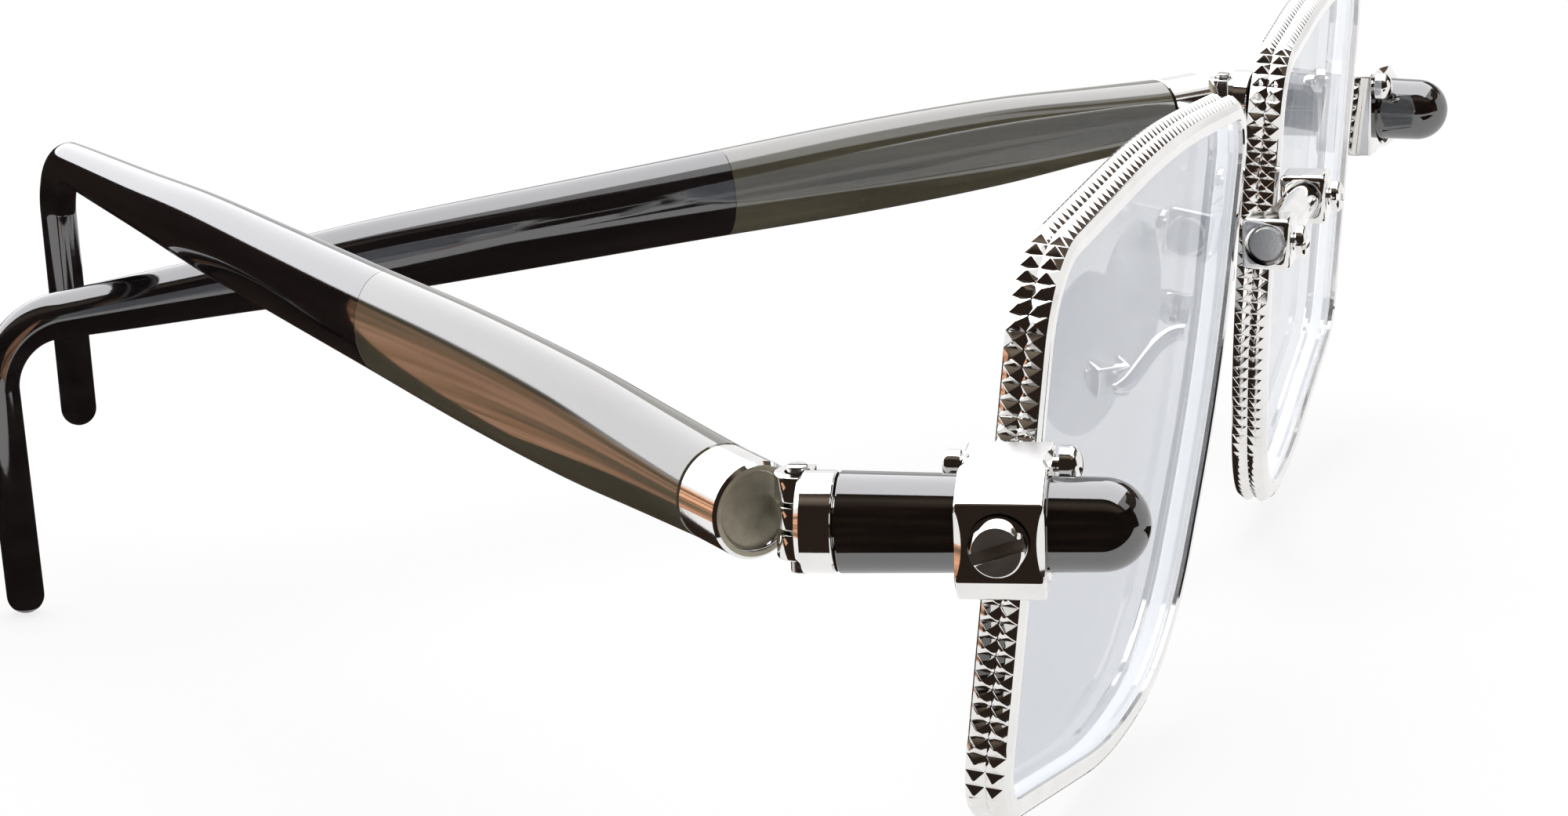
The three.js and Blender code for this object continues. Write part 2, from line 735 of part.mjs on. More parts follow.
function padScrewGeometry() {
  const reach = padBoxWide / 2 + padScrewProud;
  return rodAlongY(padScrewWide / 2, -reach, reach, 12);
}

// The arm runs from the rim's rear face to the back of the pad box.
function padArmGeometry() {
  const foot = noseSide(-padDown + armUp, rimDeep + seatGap);
  const back = new THREE.Vector3(-padBoxBack - padBoxWall - seatGap, 0, 0).applyEuler(padTurn).add(padPivot);
  const out = new THREE.Vector3(-1, 0, 0).applyEuler(padTurn);
  const path = new THREE.CatmullRomCurve3([
    foot,
    foot.clone().add(new THREE.Vector3(0, armStraight, 0)),
    back.clone().addScaledVector(out, armStraight),
    back,
  ]);
  const ring = new THREE.Shape().absarc(0, 0, armWide / 2, 0, 2 * Math.PI);
  return new THREE.ExtrudeGeometry(ring, { steps: 10, curveSegments: 4, extrudePath: path });
}

// Assembly

const glasses = new THREE.Group();

function addPart(parent, name, geometry, finish, mirror = 1) {
  let shape = geometry;
  if (mirror < 0) {
    shape = shape.clone().scale(-1, 1, 1);
    const ids = shape.index ? Array.from(shape.index.array) : [...Array(shape.attributes.position.count).keys()];
    shape.setIndex(ids.reverse());
  }
  const mesh = new THREE.Mesh(shape, new THREE.MeshStandardMaterial(finish));
  mesh.name = name;
  parent.add(mesh);
}

function groupAt(parent, position, turn, mirror) {
  const group = new THREE.Group();
  group.position.set(position.x * mirror, position.y, position.z);
  group.rotation.set(turn.x, turn.y * mirror, turn.z * mirror, turn.order);
  parent.add(group);
  return group;
}

for (const [side, mirror] of [['right', 1], ['left', -1]]) {
  const put = (parent, name, geometry, finish) => addPart(parent, `${side}_${name}`, geometry, finish, mirror);

  const eye = groupAt(glasses, eyeCentre, eyeTurn, mirror);
  put(eye, 'rim', rimGeometry(), silver);
  put(eye, 'lens', lensGeometry(), tint);

  const corner = new THREE.Vector3(-rodAside, 0, 0);
  const block = groupAt(glasses, corner, new THREE.Euler(0, 0, rad(rodToe)), mirror);
  put(block, 'end_block', blockGeometry(), silver);
  put(block, 'block_screw', blockScrewGeometry(), silver);
  put(block, 'rim_lug', lugGeometry(), silver);
  put(block, 'lock_screw', lockScrewGeometry(), silver);
  put(block, 'lock_nut', lockNutGeometry(), silver);
  put(block, 'rod', rodGeometry(), lacquer);
  put(block, 'rod_ferrule', rodFerruleGeometry(mirror), silver);
  put(block, 'hinge_pin', pinGeometry(mirror), steel);

  const pin = new THREE.Vector3(pinInset, pinBack, 0);
  const swing = new THREE.Euler(rad(templeRise), lean * mirror, rad(-restFold[side]), 'YZX');
  const temple = groupAt(block, pin, swing, mirror);
  put(temple, 'temple_ferrule', templeFerruleGeometry(), silver);
  put(temple, 'temple_front', templeFrontGeometry(), olive);
  put(temple, 'temple_tip', templeTipGeometry(), black);
  put(temple, 'temple_core', templeCoreGeometry(), steel);

  put(glasses, 'bridge_clamp', clampGeometry(), silver);
  put(glasses, 'bridge_screw', clampScrewGeometry(), silver);
  put(glasses, 'pad_arm', padArmGeometry(), silver);

  const pad = groupAt(glasses, padPivot, padTurn, mirror);
  put(pad, 'pad_box', padBoxGeometry(), silver);
  put(pad, 'pad_screw', padScrewGeometry(), steel);
  put(pad, 'nose_pad', padGeometry(), clear);
}
addPart(glasses, 'bridge_bar', bridgeBarGeometry(), silver);

// The origin is the bottom centre of the whole.
const whole = new THREE.Box3().setFromObject(glasses, true);
const middle = whole.getCenter(new THREE.Vector3());
glasses.position.set(-middle.x, -middle.y, -whole.min.z);

export default glasses;
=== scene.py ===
# Sunglasses with studded rims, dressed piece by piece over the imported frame.
# Shapes are drawn in millimetres for the wearer's right and mirrored for the left.

import json
import math

import bmesh
import bpy
from mathutils import Matrix, Vector


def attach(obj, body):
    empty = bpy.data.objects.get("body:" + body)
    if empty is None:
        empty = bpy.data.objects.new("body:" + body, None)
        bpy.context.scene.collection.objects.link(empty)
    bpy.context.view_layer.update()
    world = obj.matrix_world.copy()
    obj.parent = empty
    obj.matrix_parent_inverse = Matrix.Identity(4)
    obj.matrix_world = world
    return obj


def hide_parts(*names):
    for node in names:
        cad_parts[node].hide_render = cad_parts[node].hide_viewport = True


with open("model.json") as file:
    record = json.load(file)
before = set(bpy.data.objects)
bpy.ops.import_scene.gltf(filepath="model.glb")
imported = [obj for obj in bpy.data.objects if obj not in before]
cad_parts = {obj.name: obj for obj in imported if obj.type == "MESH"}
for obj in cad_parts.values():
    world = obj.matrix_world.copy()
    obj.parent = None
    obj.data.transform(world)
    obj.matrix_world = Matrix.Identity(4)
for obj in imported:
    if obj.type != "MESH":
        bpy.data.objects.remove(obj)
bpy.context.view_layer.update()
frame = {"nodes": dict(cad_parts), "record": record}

# Sizes of the frame, in millimetres and degrees

rod_aside = 66.996
rod_toe = 8
seat_gap = 0.3
bore_gap = 0.15
soft_edge = 0.12
half_wide = 26.85
half_high = 19.2
eye_shape = [
    (-0.894, 0.906, 0.26),
    (0.149, 1.0, 7.8),
    (0.998, 0.917, 0.167),
    (0.92, -0.052, 2.083),
    (0.577, -0.938, 0.729),
    (0.0, -1.0, 2.604),
    (-1.002, -0.724, 0.167),
]
eye_corners = [(across * half_wide, up * half_high, bend * half_high) for across, up, bend in eye_shape]
eye_aside = 35.094
eye_forward = 0.9
eye_drop = 4.9
eye_tilt = 5
eye_wrap = 2.1
lens_thick = 1.4
lens_front = 0.6
lens_edge = 0.5
rim_lip = 0.4
groove_bottom = 0.8
rim_base = 1.3
rim_deep = 2.6
stud_pitch = 1.0
stud_height = 0.44
stud_foot_area = 0.6
ridge_soft = 0.07
front_lip = 0.3
rear_lip = 0.08
block_out = 4.2
block_in = 4.4
block_high = 7.2
block_deep = 5.0
block_bevel = 1.35
rod_rear = 5.8
rod_front = 5.3
rod_ahead = 8.12
rod_behind = 9.3
socket_deep = 3.3
socket_radius = 1.65
lock_in = 3.3
lock_up = 2.5
nut_deep = 1.0
screw_hole = 0.65
screw_shank = 0.5
screw_head = 1.15
pin_back = 11.9
pin_inset = 1.7
pin_lean = -3
pin_radius = 0.6
pin_hole = 0.75
knuckle_radius = 1.35
knuckle_split = 0.95
knuckle_top = 2.5
tongue_half = 0.7
rest_fold = {"right": 50, "left": 54}
temple_rise = 0.1
ferrule_wide = 5.8
ferrule_start = 1.72
ferrule_end = 5.8
olive_end = 50.5
split_gap = 0.1
bend_start = 109
bend_radius = 5
hook_drop = 23.2
hook_wide = 2.9
temple_long = 111.5
temple_high = 8.0
core_hole = 0.85
core_end = 72.3
temple_shares = [
    (0.114, 0.825, 0.966),
    (0.21, 0.975, 0.914),
    (0.333, 1.0, 0.879),
    (0.476, 0.913, 0.845),
    (0.6, 0.85, 0.793),
    (0.733, 0.775, 0.724),
    (0.838, 0.625, 0.655),
    (0.933, 0.513, 0.586),
    (1.0, 0.425, 0.534),
]
temple_shape = [(ferrule_end, ferrule_wide, ferrule_wide)] + [
    (along * temple_long, tall * temple_high, broad * ferrule_wide)
    for along, tall, broad in temple_shares
]

# Places: the frame of each group of pieces


def turn(degrees, axis):
    return Matrix.Rotation(math.radians(degrees), 4, axis)


def at(x, y, z):
    return Matrix.Translation((x, y, z))


right_fold = next(j for j in frame["record"]["behaviour"]["joints"] if j["name"] == "right_temple_fold")
corner_place = at(-rod_aside, 0, 0) @ turn(rod_toe, "Z")
pin_place = corner_place @ Vector((pin_inset, pin_back, 0))
shift = Vector(right_fold["pos_m"]) * 1000 - pin_place
to_metres = Matrix.Scale(0.001, 4) @ Matrix.Translation(shift)
mirrors = {"right": Matrix.Identity(4), "left": Matrix.Diagonal((-1, 1, 1, 1))}
signs = {"right": 1, "left": -1}
eye_centre = Vector((-eye_aside, -eye_forward, -eye_drop))
eye_place = Matrix.Translation(eye_centre) @ turn(-eye_wrap, "Z") @ turn(eye_tilt, "X")


def lean(side):
    return turn(pin_lean * signs[side], "Y")


def temple_place(side):
    pin = corner_place @ at(pin_inset, pin_back, 0) @ lean(side)
    return pin @ turn(-rest_fold[side], "Z") @ turn(temple_rise, "X")


# Drawing: turned, boxed and drawn-out shapes


def turned(profile, steps=64):
    """A solid turned about Y from points of radius and place along Y."""
    shape = bmesh.new()
    points = [shape.verts.new((radius, along, 0)) for radius, along in profile]
    lines = [shape.edges.new(pair) for pair in zip(points, points[1:])]
    bmesh.ops.spin(
        shape, geom=points + lines, cent=(0, 0, 0), axis=(0, 1, 0), dvec=(0, 0, 0),
        angle=2 * math.pi, steps=steps, use_merge=True, use_duplicate=False,
    )
    bmesh.ops.remove_doubles(shape, verts=shape.verts[:], dist=1e-4)
    bmesh.ops.recalc_face_normals(shape, faces=shape.faces[:])
    return shape


def round_bar(radius, start, end, steps=64):
    """A plain round bar along Y."""
    return turned([(0, start), (radius, start), (radius, end), (0, end)], steps)


def moved(shape, place):
    bmesh.ops.transform(shape, matrix=place, verts=shape.verts[:])
    return shape


def boxed(low, high):
    shape = bmesh.new()
    bmesh.ops.create_cube(shape, size=1)
    size = Vector(high) - Vector(low)
    middle = (Vector(high) + Vector(low)) / 2
    return moved(shape, Matrix.Translation(middle) @ Matrix.Diagonal((*size, 1)))


def round_edges(shape, edges, width, segments):
    bmesh.ops.bevel(
        shape, geom=edges, offset=width, offset_type="OFFSET", segments=segments,
        profile=0.5, affect="EDGES", material=-1, clamp_overlap=True,
    )


def eased(shape, width, segments=3, least=35):
    """The shape with its edges rounded off where they turn by more than the least angle."""
    sharp = [
        edge for edge in shape.edges
        if len(edge.link_faces) == 2 and edge.calc_face_angle(0) > math.radians(least)
    ]
    round_edges(shape, sharp, width, segments)
    return shape


def drawn_out(rings, loop=False):
    """A skin from a first ring of points, its edge extruded through the rings that follow."""
    shape = bmesh.new()
    ring = [shape.verts.new(point) for point in rings[0]]
    edges = [shape.edges.new(pair) for pair in zip(ring, ring[1:] + ring[:1])]
    first = edges
    for points in rings[1:]:
        order = {vert: i for i, vert in enumerate(ring)}
        made = bmesh.ops.extrude_edge_only(shape, edges=edges)["geom"]
        fresh = {item for item in made if isinstance(item, bmesh.types.BMVert)}
        ring = [None] * len(order)
        for vert in fresh:
            old = next(e.other_vert(vert) for e in vert.link_edges if e.other_vert(vert) in order)
            ring[order[old]] = vert
            vert.co = points[order[old]]
        edges = [
            item for item in made
            if isinstance(item, bmesh.types.BMEdge) and all(v in fresh for v in item.verts)
        ]
    if loop:
        bmesh.ops.bridge_loops(shape, edges=first + edges)
    else:
        bmesh.ops.edgeloop_fill(shape, edges=first)
        bmesh.ops.edgeloop_fill(shape, edges=edges)
    bmesh.ops.recalc_face_normals(shape, faces=shape.faces[:])
    return shape


def raised(outline, low, high):
    """A straight solid from an outline in X and Y, between two heights."""
    return drawn_out([[Vector((x, y, z)) for x, y in outline] for z in (low, high)])


def mesh_of(shape, name="drawing"):
    """A mesh made from a drawn shape, which is used up."""
    mesh = bpy.data.meshes.new(name)
    shape.to_mesh(mesh)
    shape.free()
    return mesh


def shown(mesh, name="drawing"):
    """A new object in the scene that shows a mesh."""
    made = bpy.data.objects.new(name, mesh)
    bpy.context.scene.collection.objects.link(made)
    return made


def combined(shape, others, operation):
    """The shape joined with or cut by others, as one closed mesh."""
    body = shown(mesh_of(shape))
    tools = [shown(mesh_of(other)) for other in others]
    for tool in tools:
        step = body.modifiers.new("combine", "BOOLEAN")
        step.operation = operation
        step.solver = "EXACT"
        step.object = tool
    seen = body.evaluated_get(bpy.context.evaluated_depsgraph_get())
    result = bmesh.new()
    result.from_mesh(seen.to_mesh())
    seen.to_mesh_clear()
    for loose in [body, *tools]:
        mesh = loose.data
        bpy.data.objects.remove(loose)
        bpy.data.meshes.remove(mesh)
    return result


def cut(shape, *others):
    return combined(shape, others, "DIFFERENCE")


def joined(shape, *others):
    return combined(shape, others, "UNION")


def together(*shapes):
    """Several closed shapes kept side by side in one mesh."""
    whole = bmesh.new()
    for shape in shapes:
        mesh = mesh_of(shape)
        whole.from_mesh(mesh)
        bpy.data.meshes.remove(mesh)
    return whole


def second_finish(shape, chosen):
    """Marks the chosen faces for the piece's second finish."""
    for face in shape.faces:
        if chosen(face):
            face.material_index = 1
    return shape


def finished(shape, node, body, finish, place, crease=32, also=None):
    """A drawn shape set in its place, given its finish and put in for its frame node."""
    moved(shape, to_metres @ place)
    bmesh.ops.recalc_face_normals(shape, faces=shape.faces[:])
    name = f"{node}_finished"
    mesh = mesh_of(shape, name)
    mesh.shade_smooth()
    mesh.set_sharp_from_angle(angle=math.radians(crease))
    mesh.materials.append(finish)
    if also:
        mesh.materials.append(also)
    piece = shown(mesh, name)
    weighted = piece.modifiers.new("even shading", "WEIGHTED_NORMAL")
    weighted.keep_sharp = True
    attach(piece, body)
    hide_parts(node)


# Finishes


def set_stops(ramp, stops):
    """Gives a colour ramp its stops, each a place and a colour."""
    elements = ramp.color_ramp.elements
    while len(elements) < len(stops):
        elements.new(0.5)
    for element, (place, colour) in zip(elements, stops):
        element.position = place
        element.color = (*colour, 1)


class Finish:
    """A material with its shader and a short way to add nodes to it."""

    def __init__(self, name):
        self.material = bpy.data.materials.new(name)
        self.material.use_nodes = True
        self.tree = self.material.node_tree
        self.shader = self.tree.nodes["Principled BSDF"]

    def node(self, kind, **inputs):
        made = self.tree.nodes.new(kind)
        for key, value in inputs.items():
            made.inputs[key.replace("_", " ")].default_value = value
        return made

    def link(self, source, target):
        self.tree.links.new(source, target)

    def places(self, turned_by=(0, 0, 0), scale=(1, 1, 1)):
        """Object coordinates, turned to follow a piece and then stretched."""
        coordinates = self.tree.nodes.new("ShaderNodeTexCoord")
        turning = self.node("ShaderNodeMapping", Rotation=[math.radians(a) for a in turned_by])
        stretch = self.node("ShaderNodeMapping", Scale=scale)
        self.link(coordinates.outputs["Object"], turning.inputs["Vector"])
        self.link(turning.outputs["Vector"], stretch.inputs["Vector"])
        return stretch.outputs["Vector"]

    def noise(self, where, scale, detail=3):
        made = self.node("ShaderNodeTexNoise", Scale=scale, Detail=detail)
        self.link(where, made.inputs["Vector"])
        return made.outputs["Fac"]

    def colour(self, source, *stops):
        ramp = self.tree.nodes.new("ShaderNodeValToRGB")
        set_stops(ramp, stops)
        self.link(source, ramp.inputs["Fac"])
        self.link(ramp.outputs["Color"], self.shader.inputs["Base Color"])

    def roughness(self, source, low, high):
        made = self.node("ShaderNodeMapRange", To_Min=low, To_Max=high)
        self.link(source, made.inputs["Value"])
        self.link(made.outputs["Result"], self.shader.inputs["Roughness"])

    def bump(self, source, strength, depth):
        made = self.node("ShaderNodeBump", Strength=strength, Distance=depth)
        self.link(source, made.inputs["Height"])
        self.link(made.outputs["Normal"], self.shader.inputs["Normal"])

    def set(self, **inputs):
        for key, value in inputs.items():
            self.shader.inputs[key.replace("_", " ")].default_value = value


def polished_silver():
    finish = Finish("polished_silver")
    where = finish.places()
    cloud = finish.noise(where, 420)
    fine = finish.noise(where, 5200, 4)
    finish.set(Metallic=1.0)
    finish.colour(cloud, (0.3, (0.80, 0.785, 0.765)), (0.7, (0.86, 0.85, 0.83)))
    finish.roughness(fine, 0.03, 0.10)
    finish.bump(fine, 0.05, 0.00002)
    return finish.material


def satin_silver():
    finish = Finish("satin_silver")
    cloud = finish.noise(finish.places(), 700, 3)
    finish.set(Metallic=1.0)
    finish.colour(cloud, (0.3, (0.86, 0.85, 0.84)), (0.7, (0.92, 0.91, 0.90)))
    finish.roughness(cloud, 0.42, 0.52)
    return finish.material


def plain_steel():
    finish = Finish("plain_steel")
    where = finish.places(scale=(1, 1, 0.15))
    grain = finish.noise(where, 6000, 4)
    finish.set(Metallic=1.0)
    finish.colour(grain, (0.3, (0.58, 0.57, 0.55)), (0.7, (0.70, 0.69, 0.67)))
    finish.roughness(grain, 0.16, 0.30)
    finish.bump(grain, 0.08, 0.00002)
    return finish.material


def turned_steel():
    finish = Finish("turned_steel")
    where = finish.places()
    grain = finish.noise(where, 9000, 3)
    cloud = finish.noise(where, 900, 2)
    finish.set(Metallic=1.0, Anisotropic=0.5)
    finish.colour(cloud, (0.3, (0.66, 0.63, 0.60)), (0.7, (0.80, 0.77, 0.73)))
    finish.roughness(grain, 0.5, 0.62)
    finish.bump(grain, 0.2, 0.00001)
    return finish.material


def dull_brass():
    finish = Finish("dull_brass")
    where = finish.places()
    cloud = finish.noise(where, 1100, 4)
    grain = finish.noise(where, 7000, 2)
    finish.set(Metallic=0.8)
    finish.colour(cloud, (0.3, (0.50, 0.46, 0.36)), (0.7, (0.66, 0.61, 0.48)))
    finish.roughness(grain, 0.40, 0.60)
    finish.bump(grain, 0.3, 0.00002)
    return finish.material


def ground_edge_painted_glow():
    finish = Finish("ground_edge_painted_glow")
    cloud = finish.noise(finish.places(), 900, 2)
    # The emission paints a pale glow on the lens's ground edge, which sits in the rim groove's shade. It is
    # painted light, because the edge is no lamp.
    finish.set(IOR=1.5, Emission_Color=(0.95, 0.96, 0.98, 1), Emission_Strength=0.62)
    finish.colour(cloud, (0.3, (0.80, 0.82, 0.85)), (0.7, (0.88, 0.90, 0.92)))
    finish.roughness(cloud, 0.45, 0.6)
    return finish.material


def black_lacquer(toe):
    finish = Finish("black_lacquer")
    where = finish.places(turned_by=(0, 0, toe), scale=(1, 0.04, 1))
    streak = finish.noise(where, 2600, 3)
    speck = finish.noise(finish.places(), 3800, 2)
    finish.set(IOR=2.3)
    finish.colour(streak, (0.45, (0.004, 0.0035, 0.0035)), (0.75, (0.022, 0.013, 0.008)))
    finish.roughness(speck, 0.02, 0.07)
    finish.bump(speck, 0.03, 0.00002)
    return finish.material


def olive_acetate(along):
    finish = Finish("olive_acetate")
    where = finish.places(turned_by=(0, 0, along), scale=(1, 0.06, 1))
    streak = finish.noise(where, 700, 4)
    finish.set(IOR=2.2)
    finish.colour(
        streak, (0.3, (0.060, 0.053, 0.034)), (0.55, (0.085, 0.076, 0.050)),
        (0.75, (0.110, 0.095, 0.062)),
    )
    finish.roughness(streak, 0.07, 0.11)
    finish.bump(streak, 0.02, 0.00002)
    return finish.material


def black_acetate(along):
    finish = Finish("black_acetate")
    where = finish.places(turned_by=(0, 0, along), scale=(1, 0.06, 1))
    streak = finish.noise(where, 700, 4)
    speck = finish.noise(finish.places(), 3000, 2)
    finish.set(IOR=2.2)
    finish.colour(streak, (0.4, (0.005, 0.004, 0.005)), (0.75, (0.014, 0.011, 0.011)))
    finish.roughness(speck, 0.03, 0.10)
    finish.bump(speck, 0.03, 0.00003)
    return finish.material


def tinted_lens():
    finish = Finish("tinted_lens")
    where = finish.places()
    drift = finish.noise(where, 30, 1)
    finish.set(IOR=1.5, Roughness=0.02, Alpha=0.5)
    finish.colour(drift, (0.3, (0.60, 0.65, 0.72)), (0.7, (0.66, 0.70, 0.76)))
    return finish.material


def soft_pad():
    finish = Finish("soft_pad")
    cloud = finish.noise(finish.places(), 350, 2)
    finish.set(IOR=1.42, Transmission_Weight=0.35, Subsurface_Weight=0.3, Subsurface_Scale=0.002)
    finish.colour(cloud, (0.3, (0.80, 0.83, 0.84)), (0.7, (0.88, 0.90, 0.90)))
    finish.roughness(cloud, 0.18, 0.32)
    return finish.material


silver = polished_silver()
steel = plain_steel()
satin = satin_silver()
turned_top = turned_steel()
brass = dull_brass()
lens_side_painted_glow = ground_edge_painted_glow()
lens_tint = tinted_lens()
pad_rubber = soft_pad()
lacquers = {side: black_lacquer(-rod_toe * signs[side]) for side in signs}
olives = {side: olive_acetate((rest_fold[side] - rod_toe) * signs[side]) for side in signs}
blacks = {side: black_acetate((rest_fold[side] - rod_toe) * signs[side]) for side in signs}

# The eye's outline


def grown_corners(distance):
    """The eye's corners moved outwards, with their radii grown to match."""
    grown = []
    for i, (x, z, r) in enumerate(eye_corners):
        bx, bz, _ = eye_corners[i - 1]
        ax, az, _ = eye_corners[(i + 1) % len(eye_corners)]
        n1 = Vector((bz - z, x - bx)).normalized()
        n2 = Vector((z - az, ax - x)).normalized()
        out = (n1 + n2) * (distance / (1 + n1.dot(n2)))
        grown.append((x + out.x, z + out.y, r + distance))
    return grown


def rounded_outline(corners, per_arc=24):
    """Points round a shape with round corners."""
    points = []
    for i, (x, z, r) in enumerate(corners):
        here = Vector((x, z))
        back = (Vector(corners[i - 1][:2]) - here).normalized()
        ahead = (Vector(corners[(i + 1) % len(corners)][:2]) - here).normalized()
        half = back.angle(ahead) / 2
        centre = here + (back + ahead).normalized() * (r / math.sin(half))
        start = here + back * (r / math.tan(half)) - centre
        sweep = -(math.pi - 2 * half)
        for k in range(per_arc + 1):
            angle = sweep * k / per_arc
            points.append(centre + Matrix.Rotation(angle, 2) @ start)
    return points


def evenly_round(points, count):
    """Places spaced evenly round a closed outline, each with its outward direction."""
    ends = points[1:] + points[:1]
    lengths = [(b - a).length for a, b in zip(points, ends)]
    step = sum(lengths) / count
    places = []
    index = 0
    passed = 0
    for k in range(count):
        while passed + lengths[index] < k * step:
            passed += lengths[index]
            index += 1
        a, b = points[index], ends[index]
        along = (b - a).normalized()
        places.append((a + along * (k * step - passed), Vector((-along.y, along.x))))
    return places


outline = rounded_outline(grown_corners(rim_base))
outline_long = sum((b - a).length for a, b in zip(outline, outline[1:] + outline[:1]))
stud_count = round(outline_long / stud_pitch)
round_eye = evenly_round(outline, stud_count)


def eye_ring(offset, depth):
    reach = offset - rim_base
    return [Vector((p.x + n.x * reach, depth, p.y + n.y * reach)) for p, n in round_eye]


def nose_side(height, depth):
    """The middle of the rim's nose side at a height above the rods, in the whole frame."""
    inner = [(p, n) for p, n in round_eye if p.x > 0]
    p, n = min(inner, key=lambda place: abs(place[0].y - height - eye_drop))
    reach = -rim_base / 2
    return eye_place @ Vector((p.x + n.x * reach, depth, p.y + n.y * reach))


# Rim and lens


def studded_rim():
    """A grooved band with two rows of pyramid studs and a plain lip in front."""
    rear = rim_deep - rear_lip
    middle = (front_lip + rear) / 2
    chamfer = [(rim_base - inset, depth) for inset, depth in ((0.58, 0), (0.5, 0.025), (0.02, 0.26))]
    section = [
        (0, rim_lip), (0, soft_edge), (soft_edge, 0), *chamfer, (rim_base, front_lip),
        (rim_base, middle), (rim_base, rear), (rim_base, rim_deep), (soft_edge, rim_deep),
        (0, rim_deep - soft_edge), (0, rim_deep - rim_lip), (groove_bottom, rim_deep - rim_lip),
        (groove_bottom, rim_lip),
    ]
    shape = drawn_out([eye_ring(offset, depth) for offset, depth in section], loop=True)
    poked = bmesh.ops.poke(
        shape, faces=[face for face in shape.faces if under_stud(face)], offset=stud_height,
        center_mode="MEAN", use_relative_offset=False,
    )
    ridges = {edge for tip in poked["verts"] for edge in tip.link_edges}
    round_edges(shape, list(ridges), ridge_soft, 2)
    return shape


def under_stud(face):
    """True on the squares of the band's outer wall that carry the studs."""
    middle = face.calc_center_median()
    along_wall = abs(face.normal.y) < 0.2
    in_rows = front_lip < middle.y < rim_deep - rear_lip
    outside = face.normal.x * middle.x + face.normal.z * middle.z > 0
    return along_wall and in_rows and outside and face.calc_area() > stud_foot_area


def clear_lens():
    rear = lens_front + lens_thick
    shape = drawn_out([
        eye_ring(lens_edge - soft_edge, lens_front),
        eye_ring(lens_edge, lens_front + soft_edge),
        eye_ring(lens_edge, rear - soft_edge),
        eye_ring(lens_edge - soft_edge, rear),
    ])
    return second_finish(shape, lambda face: abs(face.normal.y) < 0.9)


# Corner block, its screws and the rod


def rod_radius(along):
    share = (along + rod_ahead) / (rod_ahead + rod_behind)
    return (rod_front + (rod_rear - rod_front) * share) / 2


def corner_block():
    deep = block_deep / 2
    high = block_high / 2
    shoulder = 2.4
    outline = [
        (-block_out, high - block_bevel), (-block_out + shoulder, high), (block_in, high),
        (block_in, -high), (-block_out + block_bevel, -high), (-block_out, -high + block_bevel),
    ]
    shape = drawn_out([[Vector((x, y, z)) for x, z in outline] for y in (-deep, deep)])
    eased(shape, width=0.22, segments=4, least=20)
    scoop_in = 0.8
    scoops = []
    for towards in (-1, 1):
        tilt = 45 * towards
        scoops.append(moved(scoop(), at(-block_out, towards * deep, 0) @ turn(-tilt, "Z")))
        for up in (-1, 1):
            edge = at(scoop_in, towards * deep, up * high) @ turn(90 * up, "Y") @ turn(-tilt, "Z")
            scoops.append(moved(scoop(), edge))
    bore = rod_radius(deep) + bore_gap
    flare = 0.25
    mouth = bore + flare
    past = deep + 1
    rod_bore = turned([
        (0, -past), (mouth + 0.6, -past), (mouth, -deep), (bore, flare - deep),
        (bore, deep - flare), (mouth, deep), (mouth + 0.6, past), (0, past),
    ])
    lock_bore = moved(round_bar(screw_hole, -4, 4, 32), at(lock_in, 0, lock_up))
    block = cut(shape, rod_bore, lock_bore, *scoops)
    return second_finish(block, lambda face: face.normal.z > 0.95)


def scoop():
    """A wide drum on its side that bites a shallow hollow into an edge along Z, from the -X side."""
    radius = 9
    bite = 0.3
    return moved(round_bar(radius, -4, 4, 160), at(bite - radius, 0, 0))


def slotted_screw(profile, slot_wide, slot_deep):
    """A screw along +Y with its top at zero, turned from a profile and slotted across."""
    half = slot_wide / 2
    flare = half + 0.7
    lip = 0.16
    outline = [
        (-flare, -1), (flare, -1), (half, lip), (half, slot_deep), (-half, slot_deep), (-half, lip),
    ]
    return cut(turned(profile), raised(outline, -3, 3))


def domed_screw(rise, head, end, slot_wide, slot_deep):
    """A slotted screw with a domed head on a plain shank."""
    step = 0.157
    dome = [(screw_head * math.sin(k * step), rise * (1 - math.cos(k * step))) for k in range(11)]
    shank = [(screw_head, head), (screw_shank, head), (screw_shank, end), (0, end)]
    return slotted_screw(dome + shank, slot_wide, slot_deep)


def block_screw():
    top = 1.38
    seat = 1.2
    stands_out = 1.18
    shank = 0.8
    end = 2.6
    rings = [(top * k / 7, 0.012 * (k % 2)) for k in range(7)]
    head = [
        (top, 0), (top + 0.05, 0.05), (1.56, 0.4), (1.66, 0.75), (1.725, 1.1), (1.725, seat),
        (shank, seat), (shank, end), (0, end),
    ]
    screw = slotted_screw(rings + head, slot_wide=0.6, slot_deep=0.5)
    second_finish(screw, lambda face: face.normal.y < -0.98 and face.calc_center_median().y < 1)
    place = at(-block_out - seat_gap - stands_out, 0, 0) @ turn(-90, "Z") @ turn(72, "Y")
    return moved(screw, place)


def lock_screw():
    head = 1.3
    end = head + block_deep + 2 * seat_gap + nut_deep
    screw = domed_screw(rise=0.75, head=head, end=end, slot_wide=0.4, slot_deep=0.5)
    front = -block_deep / 2 - seat_gap - head
    return moved(screw, at(lock_in, front, lock_up) @ turn(20, "Y"))


def lock_nut():
    hole = 0.62
    radius = 0.85
    start = block_deep / 2 + seat_gap
    end = start + nut_deep
    nut = turned([
        (hole, start), (radius, start), (radius, end - 0.25), (0.72, end), (hole, end), (hole, start),
    ], 40)
    return moved(eased(nut, 0.05, 2), at(lock_in, 0, lock_up))


def lacquered_rod():
    tip = rod_front / 2
    steps = 16
    profile = []
    for k in range(steps + 1):
        bend = k / steps * math.pi / 2
        profile.append((tip * math.sin(bend), -rod_ahead + tip * (1 - math.cos(bend))))
    edge = 0.1
    rear = rod_rear / 2
    deep = rod_behind - socket_deep
    profile += [
        (rear - 0.004, rod_behind - edge), (rear - edge, rod_behind), (socket_radius, rod_behind),
        (socket_radius, deep), (0, deep),
    ]
    return turned(profile, 72)


# Hinge


